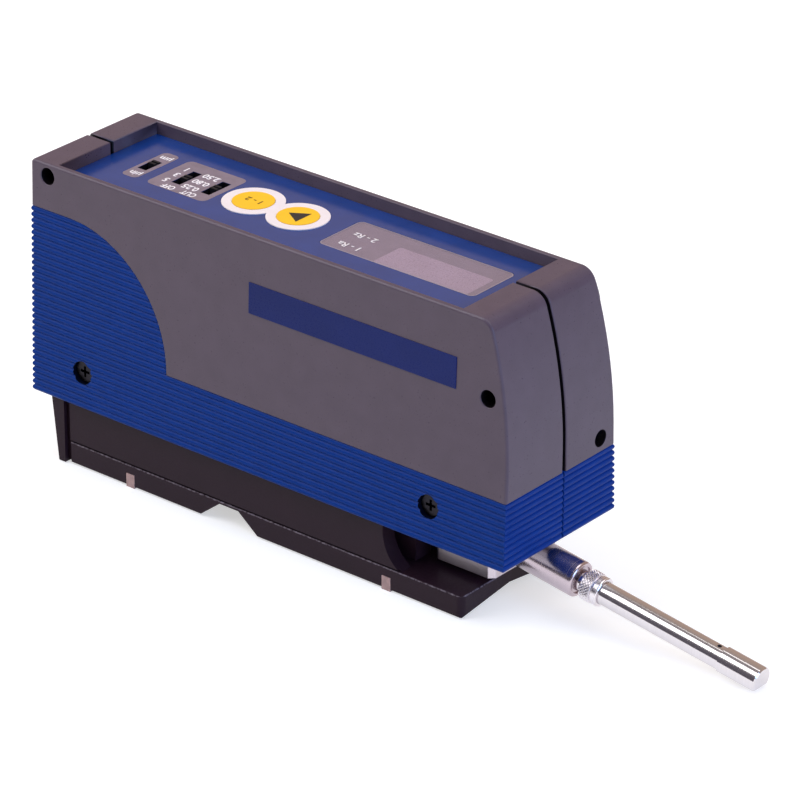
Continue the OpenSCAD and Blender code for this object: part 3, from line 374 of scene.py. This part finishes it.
# Housing screws: blackened steel cross-head screws, deep in their counterbores on the left side.
# The oxide skin is nearly black, with a soft shine.
black_screw = tooled_metal("blackened_steel", "#2a282d", 0.35, 0.25, 1, along=(1, 1, 1))
dress(black_screw, "housing_screws", "cover_screws", "foot_screws", "end_screws", "spindle_clip", "tip_screw")

# Side plate: a bare strip of navy film on the left cover, where the face leans in towards the top.
# It is a printed polyester film with a satin skin and square-cut corners, stuck on.


def outline(length, width, radius, steps=8):
    """Points of a rounded rectangle about zero: four quarter circles, joined by straight edges."""
    turn = np.linspace(0, np.pi / 2, steps)[None, :] + np.arange(4)[:, None] * np.pi / 2
    centre_x = np.array([1, -1, -1, 1])[:, None] * (length / 2 - radius)
    centre_y = np.array([1, 1, -1, -1])[:, None] * (width / 2 - radius)
    return np.stack([centre_x + radius * np.cos(turn), centre_y + radius * np.sin(turn)], -1).reshape(-1, 2)


def rings_to_mesh(name, rings, closed_profile=False):
    """Join rings of points, one row each, to a skin of quads. The last ring joins the first in a
    closed profile, and else both are closed by a cap."""
    count, around = rings.shape[:2]
    row = np.arange(count if closed_profile else count - 1)[:, None]
    column = np.arange(around)[None, :]
    a = row * around + column
    b = row * around + (column + 1) % around
    c = (row + 1) % count * around + (column + 1) % around
    d = (row + 1) % count * around + column
    faces = np.stack([a, b, c, d], -1).reshape(-1, 4).tolist()
    if not closed_profile:
        faces.append(list(range(around))[::-1])
        faces.append(list(range((count - 1) * around, count * around)))
    mesh = bpy.data.meshes.new(name)
    mesh.from_pydata(rings.reshape(-1, 3).tolist(), [], faces)
    mesh.update()
    piece = bpy.data.objects.new(name, mesh)
    bpy.context.scene.collection.objects.link(piece)
    return piece


def plate(name, length, width, radius, thick, edge, centre, along, up):
    """A thin plate on a plane: its outline carried up the edge and rolled in at the top, so that
    each ring is the outline set in by 1 - cos and raised by sin over a quarter turn."""
    along, up = np.array(along, float), np.array(up, float)
    along, up = along / np.linalg.norm(along), up / np.linalg.norm(up)
    normal = np.cross(along, up)
    roll = np.linspace(0, np.pi / 2, 4)
    insets = np.concatenate([[0], edge * (1 - np.cos(roll))])
    heights = np.concatenate([[0], thick - edge + edge * np.sin(roll)])
    flat = np.stack([outline(length - 2 * i, width - 2 * i, max(radius - i, 1e-5)) for i in insets])
    rings = (np.array(centre) + flat[..., :1] * along + flat[..., 1:] * up
             + heights[:, None, None] * normal)
    return rings_to_mesh(name, rings)


lean = math.atan2(side_lean, body_high - body_low)
plate_rear, plate_front, plate_low, plate_high = 66.3, 125.3, 57.0, 64.5
plate_x, plate_z = (plate_rear + plate_front) / 2, (plate_low + plate_high) / 2
plate_corner, plate_thick, plate_edge = 0.15 * mm, 0.2 * mm, 0.08 * mm
side_plate = plate("side_plate", (plate_front - plate_rear) * mm, (plate_high - plate_low) * mm, plate_corner,
                   plate_thick, plate_edge, (rear_x + plate_x * mm, -side_y(plate_z) * mm, plate_z * mm),
                   (1, 0, 0), (0, math.sin(lean), math.cos(lean)))
navy_film = moulded_plastic("navy_polyester_film", "#142465", 0.3, grain_mm=0.25, grain_um=2, cloud_mm=14,
                            cloud=0.08)
settle(side_plate, navy_film, "frame")

# Control panel: a moulded plate under a blue printed film, sunk below the rims. The film is satin
# polyester with a fine orange-peel skin. Only its top 0.1 mm is blue, and below it the colour turns near
# black, so the walls of the slots and openings show dark.
panel_blue = moulded_plastic("blue_panel_film", "#0d357c", 0.2, grain_mm=0.7, grain_um=1, cloud_mm=6,
                             cloud=0.08, Specular_IOR_Level=0.8)
panel_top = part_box("top_panel")[1][2]
panel_tree = panel_blue.node_tree
panel_shader = panel_tree.nodes["Principled BSDF"]
film_under, film_clear = panel_top - 0.1 * mm, panel_top - 0.06 * mm
panel_place = add(panel_tree, "SeparateXYZ", {"Vector": add(panel_tree, "TexCoord").outputs["Object"]})
near_black_share = add(panel_tree, "MapRange", {"Value": panel_place.outputs["Z"], "From Min": film_under,
                                           "From Max": film_clear, "To Min": 1.0, "To Max": 0.0})
paint_over(panel_tree, panel_shader, near_black_share.outputs["Result"], "#141318")
dress(panel_blue, "top_panel")

# Panel prints: grey fields round the switches with white lettering, screened on the film. The
# lettering reads from the far side, so it is turned half round.
label_grey = moulded_plastic("grey_screen_print", "#877882", 0.4, grain_mm=0.5, grain_um=4, cloud_mm=2,
                             cloud=0.08)
white_print = moulded_plastic("white_screen_print", "#f4eef0", 0.4, grain_mm=0.4, grain_um=3, cloud_mm=2,
                              cloud=0.03)
print_thick = 0.03 * mm


def printed_field(name, rear, front, low, high, radius, slots, slot_low, slot_high):
    """A flat printed field with slots, in millimetres: a grid of lines across, at the rounded ends
    and the slots' edges, and four lines along, of which the outer two draw in round the corners by
    the radius less the height of its arc. The cells over the slots are left out."""
    turn = np.linspace(0, np.pi / 2, 7)
    ends = radius * (1 - np.cos(turn))
    across = np.unique(np.concatenate([rear + ends, front - ends, np.ravel(slots)]).round(5))
    reach = np.clip(radius - np.minimum(across - rear, front - across), 0, radius)
    inset = radius - np.sqrt(radius ** 2 - reach ** 2)
    lines = np.stack([low + inset, np.full_like(across, slot_low), np.full_like(across, slot_high),
                      high - inset], 1)
    points = np.stack([np.broadcast_to(across[:, None], lines.shape) * mm + rear_x, lines * mm,
                       np.full(lines.shape, panel_top + print_thick)], -1).reshape(-1, 3)
    column, row = (index.ravel() for index in np.mgrid[0:len(across) - 1, 0:3])
    middle = (across[column] + across[column + 1]) / 2
    open_cell = (row == 1) & np.any([(middle > a) & (middle < b) for a, b in slots], 0)
    first = (column * 4 + row)[~open_cell]
    mesh = bpy.data.meshes.new(name)
    mesh.from_pydata(points.tolist(), [], np.stack([first, first + 4, first + 5, first + 1], 1).tolist())
    piece = bpy.data.objects.new(name, mesh)
    bpy.context.scene.collection.objects.link(piece)
    ink = piece.modifiers.new("ink", "SOLIDIFY")
    ink.thickness = print_thick
    ink.offset = -1
    settle(piece, label_grey, "frame")


capital, half_ink, bold, curve_steps = 0.7, 0.01, 0.02, 3


def lettering(name, words, height, x, y, z, material, body="frame", wide=1.0):
    """Printed words: font outlines filled to a thin mesh at unit size, scaled to the capital height
    in millimetres, turned half round to read from the far side, and laid on a level."""
    font = bpy.data.curves.new(name, "FONT")
    font.body = words
    font.align_x, font.align_y = "CENTER", "CENTER"
    font.extrude = half_ink
    font.offset = bold
    font.resolution_u = curve_steps
    holder = bpy.data.objects.new(name, font)
    bpy.context.scene.collection.objects.link(holder)
    mesh = bpy.data.meshes.new_from_object(holder.evaluated_get(bpy.context.evaluated_depsgraph_get()))
    bpy.data.objects.remove(holder)
    points = np.empty(len(mesh.vertices) * 3)
    mesh.vertices.foreach_get("co", points)
    points = points.reshape(-1, 3)
    middle = (points.max(0) + points.min(0)) / 2
    scale = height * mm / capital
    points = (points - middle) * (-scale * wide, -scale, print_thick / (2 * half_ink))
    points += (rear_x + x * mm, y * mm, z + print_thick / 2)
    mesh.vertices.foreach_set("co", points.ravel())
    mesh.update()
    piece = bpy.data.objects.new(name, mesh)
    bpy.context.scene.collection.objects.link(piece)
    settle(piece, material, body)


printed_field("unit_field", 16.6, 21.3, -6.0, 9.5, 1.4, [(17.5, 20.1)], -1.2, 4.4)
printed_field("cutoff_field", 24.2, 41.9, -6.0, 9.6, 1.6, [(28.8, 31.4), (37.7, 40.3)], -2.25, 5.45)
field_top = panel_top + print_thick
for name, words, height, wide, x, y in (
        ("unit_metric", "µm", 2.0, 0.9, 19.1, 7.1), ("unit_inch", "µin", 2.0, 0.9, 19.2, -3.6),
        ("cut_heading_a", "CUT", 1.9, 0.75, 36.3, -4.7), ("cut_heading_b", "OFF", 1.9, 0.75, 30.2, -4.7),
        ("length_short", "0.25", 2.0, 0.92, 34.4, -1.9), ("length_middle", "0.80", 2.0, 0.92, 34.4, 1.6),
        ("length_long", "2.50", 2.0, 0.92, 34.4, 5.2), ("count_five", "5", 2.0, 0.92, 27.1, -2.0),
        ("count_three", "3", 2.0, 0.92, 27.1, 1.6), ("count_one", "1", 2.0, 0.92, 27.0, 5.1)):
    lettering(name, words, height, x, y, field_top, white_print, wide=wide)

# Switch knobs: nubs of the slide switches under the panel, moulded in black plastic in one shot,
# with a nail groove on top.
dress(black_moulding, "unit_knob", "range_knob", "cutoff_knob")

# Keys and their surround: satin yellow mouldings in a white collar shaped like an 8. The marks,
# two memory numbers and a start triangle, are printed on the keys.
key_grain = {"grain_mm": 0.5, "grain_um": 4, "cloud_mm": 4}
dress(moulded_plastic("moulded_white_collar", "#f0e4e4", 0.38, cloud=0.02, **key_grain), "key_surround")
dress(moulded_plastic("moulded_yellow_key", "#fcc42c", 0.35, cloud=0.03, **key_grain),
      "select_key", "start_key")
select_low, select_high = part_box("select_key")
start_low, start_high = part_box("start_key")
brown_print = moulded_plastic("brown_screen_print", "#7a5b22", 0.4, grain_mm=0.3, grain_um=2, cloud_mm=1)
dark_print = moulded_plastic("dark_screen_print", "#3a3230", 0.4, grain_mm=0.3, grain_um=2, cloud_mm=1)
select_x = ((select_low + select_high) / 2)[0] - rear_x
key_y = ((select_low + select_high) / 2)[1]
start_x = ((start_low + start_high) / 2)[0] - rear_x
arrow_size, arrow_shift, arrow_wide = 2.95 * mm, 0.2 * mm, 1.08
lettering("select_mark", "1 - 2", 1.75, select_x / mm, key_y / mm, select_high[2], brown_print,
          "select_button", wide=1.05)


def start_arrow(name, size, x, y, z):
    """A filled triangle with one corner towards the rear: three corners a third of a turn apart,
    a little wider than long, raised from the key by the print's thickness."""
    turn = np.pi + np.arange(3) * 2 * np.pi / 3
    flat = np.stack([x + size * np.cos(turn), y + arrow_wide * size * np.sin(turn)], -1)
    rings = np.stack([np.column_stack([flat, np.full(3, level)]) for level in (z, z + print_thick)])
    return rings_to_mesh(name, rings)


arrow = start_arrow("start_mark", arrow_size, rear_x + start_x + arrow_shift, key_y, start_high[2])
settle(arrow, dark_print, "start_button")

# Display: an acrylic window flush in its seat, its upper face printed grey round the field of the
# liquid-crystal cell, under a thin clear hard coat. A pale ring round its polished edge is a painted
# highlight, and two parameter names are printed at the rear.
window_low, window_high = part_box("display_window")
window_size, window_mid = window_high - window_low, (window_low + window_high) / 2
window_corner, coat_thick, cell_print = 1.4 * mm, 0.08 * mm, 0.02 * mm
mask_edge, pane_edge = 0.02 * mm, 0.04 * mm


def window_layer(name, low, thick, edge):
    """A layer of the window over its whole plan, from a level up."""
    return plate(name, window_size[0], window_size[1], window_corner, thick, edge,
                 (window_mid[0], window_mid[1], low), (1, 0, 0), (0, 1, 0))


mask_top = window_high[2] - coat_thick - 2 * cell_print
mask = window_layer("window_mask", window_low[2], mask_top - window_low[2], mask_edge)
settle(mask, moulded_plastic("grey_printed_acrylic", "#94818f", 0.35, grain_mm=0.4, grain_um=2, cloud_mm=3,
                             cloud=0.04), "frame")
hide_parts("display_window")
cell_rear, cell_front, cell_near, cell_far = 91.2 * mm, 117.6 * mm, -5.6 * mm, 4.0 * mm
cell_corner = 0.8 * mm
cell_mid = (rear_x + (cell_rear + cell_front) / 2, (cell_near + cell_far) / 2, mask_top)
cell = plate("display_cell", cell_front - cell_rear, cell_far - cell_near, cell_corner, cell_print,
             cell_print / 4, cell_mid, (1, 0, 0), (0, 1, 0))
settle(cell, moulded_plastic("liquid_crystal_cell", "#b59cae", 0.3, grain_mm=0.5, grain_um=2, cloud_mm=5,
                             cloud=0.04), "frame")
# The window rim is a pale ring painted round the window's edge, a painted highlight.
rim_width, rim_cover = 0.24 * mm, 0.01 * mm
rim_high, rim_low = window_high[2] - rim_cover, window_high[2] - coat_thick + rim_cover
rim_rings = []
rim_corners = ((rim_cover, rim_low), (rim_cover, rim_high), (rim_width, rim_high), (rim_width, rim_low))
for inset, level in rim_corners:
    flat = outline(window_size[0] - 2 * inset, window_size[1] - 2 * inset, window_corner - inset)
    rim_rings.append(np.column_stack([flat + window_mid[:2], np.full(len(flat), level)]))
rim = rings_to_mesh("window_rim", np.stack(rim_rings), closed_profile=True)
settle(rim, moulded_plastic("window_edge_painted_highlight", "#aa9da7", 0.3, grain_mm=0.4, grain_um=1, cloud_mm=3,
                            cloud=0.04), "frame")
pane = window_layer("window_pane", window_high[2] - coat_thick, coat_thick, pane_edge)
acrylic, acrylic_tree, acrylic_shader = new_material("clear_hard_coat", IOR=1.49, Alpha=0.14)
acrylic_place = add(acrylic_tree, "TexCoord").outputs["Object"]
haze_mm = 3
haze = add(acrylic_tree, "TexNoise", {"Vector": acrylic_place, "Scale": 1000 / haze_mm,
                                      "Detail": 3.0}).outputs["Fac"]
acrylic_gloss = add(acrylic_tree, "MapRange", {"Value": haze, "To Min": 0.08, "To Max": 0.2})
acrylic_tree.links.new(shade_between(acrylic_tree, haze, linear("#9b8f99"), linear("#a99ca6")),
                       acrylic_shader.inputs["Base Color"])
acrylic_tree.links.new(acrylic_gloss.outputs["Result"], acrylic_shader.inputs["Roughness"])
settle(pane, acrylic, "frame")
for name, words, y in (("parameter_one", "1 - Ra", -2.9), ("parameter_two", "2 - Rz", 2.8)):
    lettering(name, words, 1.9, 82.0, y, window_high[2] - print_thick, white_print)

# Swivel head: a milled steel block, satin nickel plated, that turns on its spindle under the
# housing. Milling leaves faint straight lines.
satin_nickel = tooled_metal("satin_nickel_steel", "#cfc4cb", 0.3, 0.5, 1.5, along=(0, 1, 0))
settle(rounded_copy("swivel_head_skin", "swivel_head", 0.3), satin_nickel, "swivel")

# Drive rod, plunger, probe tube and tip: bright ground steel, polished on the lathe, so that fine
# rings run round the axis, which drops towards the surface.
pin_height, tip_clear, tip_flat, tip_reach = 13.2, 0.9, 1.75, 71.2
tilt = math.degrees(math.asin((pin_height - tip_clear - tip_flat) / tip_reach))
polished_steel = tooled_metal("polished_ground_steel", "#d9d4d6", 0.11, 0.12, 0.25, along=(1, 0, 0),
                              turn=(0, -tilt, 0))
dress(polished_steel, "plunger", "probe_tube", "probe_tip")
dress(tooled_metal("satin_ground_steel", "#c4b6bd", 0.22, 0.15, 0.4, along=(1, 0, 0), turn=(0, -tilt, 0)),
      "drive_rod", "rod_bush")

# Coupling nut: turned steel with a diamond knurl on its rear two thirds and a plain rounded collar
# in front. It holds the probe tube on the plunger.
nut_start, nut_end = 23.3 * mm, 28.3 * mm
pin_along = 124.6
pin = np.array([rear_x + pin_along * mm, 0, pin_height * mm])
probe_axis = np.array([math.cos(math.radians(tilt)), 0, -math.sin(math.radians(tilt))])
probe_up = np.array([math.sin(math.radians(tilt)), 0, math.cos(math.radians(tilt))])
knurls, knurl_depth, knurl_pitch = 30, 0.22 * mm, 0.85 * mm
bore, tube_seat, face, neck, root = 2.55, 2.75, 3.1, 3.2, 3.43
collar_from, collar_roll, nose_roll = 3.55, 0.25, 0.35


def coupling_nut(name):
    """A turned ring: a closed profile of distance and radius carried round the axis, its radii in
    millimetres. Between the knurl's ends the radius gains the lower of two triangle waves that wind
    opposite ways."""
    knurl_from, knurl_to = nut_start + 0.35 * mm, nut_start + 3.1 * mm
    ends = np.linspace(0, np.pi / 2, 4)
    profile = np.concatenate([
        [[nut_start, bore * mm], [nut_start, face * mm]],
        np.column_stack([np.linspace(knurl_from - 0.2 * mm, knurl_from, 3), np.linspace(neck, root, 3) * mm]),
        np.column_stack([np.linspace(knurl_from, knurl_to, 42)[1:-1], np.full(40, root * mm)]),
        np.column_stack([np.linspace(knurl_to, knurl_to + 0.15 * mm, 3), np.linspace(root, 3.15, 3) * mm]),
        np.column_stack([nut_start + (collar_from - collar_roll * np.cos(ends)) * mm,
                         (neck + collar_roll * np.sin(ends)) * mm]),
        np.column_stack([nut_end - (nose_roll - nose_roll * np.sin(ends)) * mm,
                         (face + nose_roll * np.cos(ends)) * mm]),
        [[nut_end, tube_seat * mm], [nut_start + 3.0 * mm, tube_seat * mm],
         [nut_start + 2.7 * mm, bore * mm]]])
    turn = np.linspace(0, 2 * np.pi, knurls * 8, endpoint=False)
    s, radius = profile[:, :1], profile[:, 1:]
    wave_a = np.abs(2 * np.mod(knurls * turn / (2 * np.pi) + s / knurl_pitch, 1) - 1)
    wave_b = np.abs(2 * np.mod(knurls * turn / (2 * np.pi) - s / knurl_pitch, 1) - 1)
    cut = np.clip(np.minimum(s - knurl_from, knurl_to - s) / (0.1 * mm), 0, 1) * (radius > 3.4 * mm)
    radius = radius + cut * knurl_depth * np.minimum(wave_a, wave_b)
    across = np.array([0, -1.0, 0])
    rings = (pin + s[..., None] * probe_axis + radius[..., None] * (
        np.cos(turn)[None, :, None] * probe_up + np.sin(turn)[None, :, None] * across))
    return rings_to_mesh(name, rings, closed_profile=True)


nut = coupling_nut("knurled_nut")
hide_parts("coupling_nut")
knurled_steel = tooled_metal("knurled_bright_steel", "#e8e2e6", 0.26, 0.2, 0.4, along=(1, 0, 0),
                             turn=(0, -tilt, 0))
settle(nut, knurled_steel, "coupling")

# Sensing end: a ruby skid and a ground diamond stylus under the tip, and a wound copper pickup
# coil inside the tube.
dress(moulded_plastic("polished_ruby", "#8c2f45", 0.12, grain_mm=0.3, grain_um=0.5), "skid")
dress(moulded_plastic("ground_diamond", "#e8e8ee", 0.12, grain_mm=0.2, grain_um=0.5), "stylus_tip")
dress(tooled_metal("wound_copper_wire", "#b9703f", 0.35, 0.25, 6, along=(1, 0, 0), turn=(0, -tilt, 0)),
      "pickup_coil")

# Studio: a white floor in a dim room, warm behind, one large soft box high at the rear left, which
# draws the bright streak along the probe, a light overhead, a cool fill in front, and the camera.
floor_size, floor_corner, floor_thick, floor_glow, fibre_mm = 12.0, 5.9, 0.02, 0.55, 60
floor_flat = outline(floor_size, floor_size, floor_corner, steps=24)
floor = rings_to_mesh("floor", np.stack([
    np.column_stack([floor_flat, np.full(len(floor_flat), level)]) for level in (-floor_thick, 0.0)]))
paper, paper_tree, paper_shader = new_material("white_paper_sweep", Roughness=0.9, Specular_IOR_Level=0.1)
paper_place = add(paper_tree, "TexCoord").outputs["Object"]
paper_fibre = add(paper_tree, "TexNoise", {"Vector": paper_place, "Scale": 1000 / fibre_mm}).outputs["Fac"]
paper_tree.links.new(shade_between(paper_tree, paper_fibre, linear("#d2d2d2"), linear("#d8d8d8")),
                     paper_shader.inputs["Base Color"])
rays = add(paper_tree, "LightPath").outputs
seen = rays["Is Camera Ray"]
for other in ("Is Glossy Ray", "Is Transmission Ray"):
    seen = add(paper_tree, "Math", {0: seen, 1: rays[other]}, operation="MAXIMUM").outputs[0]
glow = add(paper_tree, "Math", {0: seen, 1: floor_glow}, operation="MULTIPLY")
paper_shader.inputs["Emission Color"].default_value = (1, 1, 1, 1)
paper_tree.links.new(glow.outputs[0], paper_shader.inputs["Emission Strength"])
floor.data.materials.append(paper)

world = bpy.data.worlds.new("dim_room")
bpy.context.scene.world = world
world.use_nodes = True
room = world.node_tree.nodes["Background"]
direction = add(world.node_tree, "TexCoord").outputs["Generated"]
across = add(world.node_tree, "SeparateXYZ", {"Vector": direction}).outputs["Y"]
across = add(world.node_tree, "MapRange", {"Value": across, "From Min": -1.0, "From Max": 1.0})
room_tone = add(world.node_tree, "ValToRGB", {"Fac": across.outputs["Result"]})
room_tone.color_ramp.elements[0].color = linear("#595561")
room_tone.color_ramp.elements[1].color = linear("#c2ab9c")
room_tone.color_ramp.elements[1].position = 0.85
room_tone.color_ramp.elements.new(0.5).color = linear("#9c9797")
world.node_tree.links.new(room_tone.outputs["Color"], room.inputs["Color"])
room.inputs["Strength"].default_value = 1.0


def soft_lamp(name, size, power, place, aim, colour="#ffffff"):
    """A square area lamp in metres and watts, turned so that its front faces the aim point."""
    lamp = bpy.data.objects.new(name, bpy.data.lights.new(name, "AREA"))
    lamp.data.size = size
    lamp.data.energy = power
    lamp.data.color = linear(colour)[:3]
    lamp.location = place
    back = np.array(place) - np.array(aim)
    lamp.rotation_euler = (math.atan2(math.hypot(back[0], back[1]), back[2]), 0,
                           math.atan2(back[1], back[0]) + math.pi / 2)
    bpy.context.scene.collection.objects.link(lamp)


soft_lamp("soft_box", 1.1, 12.0, (-0.72, -0.50, 0.95), (0, 0, 0.04))
soft_lamp("top_light", 0.9, 5.0, (0.25, 0.25, 1.25), (0, 0, 0.04))
soft_lamp("front_fill", 0.8, 12.0, (1.35, -0.30, 0.50), (0, 0, 0.04), "#9cc4ff")

camera = bpy.data.objects.new("camera", bpy.data.cameras.new("camera"))
camera.data.sensor_width = 36.0
camera.data.lens = 211.54
camera.location = (0.59195, -0.72317, 0.50313)
camera.rotation_euler = tuple(np.radians((63.5623, -0.2546, 39.5789)))
bpy.context.scene.collection.objects.link(camera)
bpy.context.scene.camera = camera
